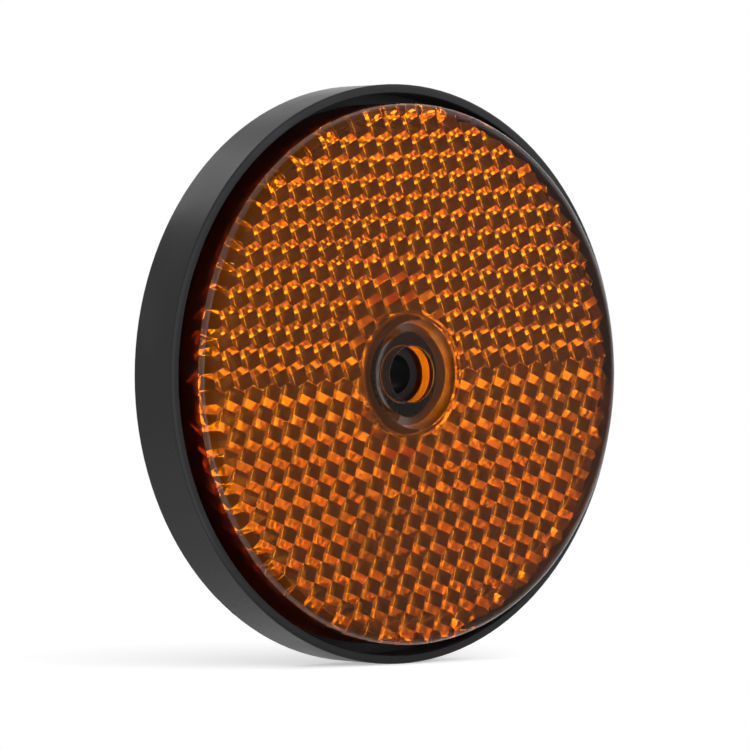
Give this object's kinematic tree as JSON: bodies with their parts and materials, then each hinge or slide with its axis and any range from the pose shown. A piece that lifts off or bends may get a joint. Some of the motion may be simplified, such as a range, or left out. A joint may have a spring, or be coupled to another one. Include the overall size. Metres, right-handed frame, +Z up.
{
  "type": "round reflector",
  "caption": "Round amber prism reflector in a black plastic housing, fixed by one screw through its middle.",
  "frame": {"origin": "centre of the screw hole on the flat back face", "axes": "-Y out of the reflecting face along the screw hole, +Z up as mounted, +X to the right seen from the front"},
  "size_m": [0.08, 0.0122, 0.08],
  "materials": {
    "amber_clear_plastic": "clear polished amber moulding",
    "black_plastic": "satin moulded black"
  },
  "bodies": {
    "root": {"amber_lens": "amber_clear_plastic", "black_housing": "black_plastic"}
  },
  "joints": []
}
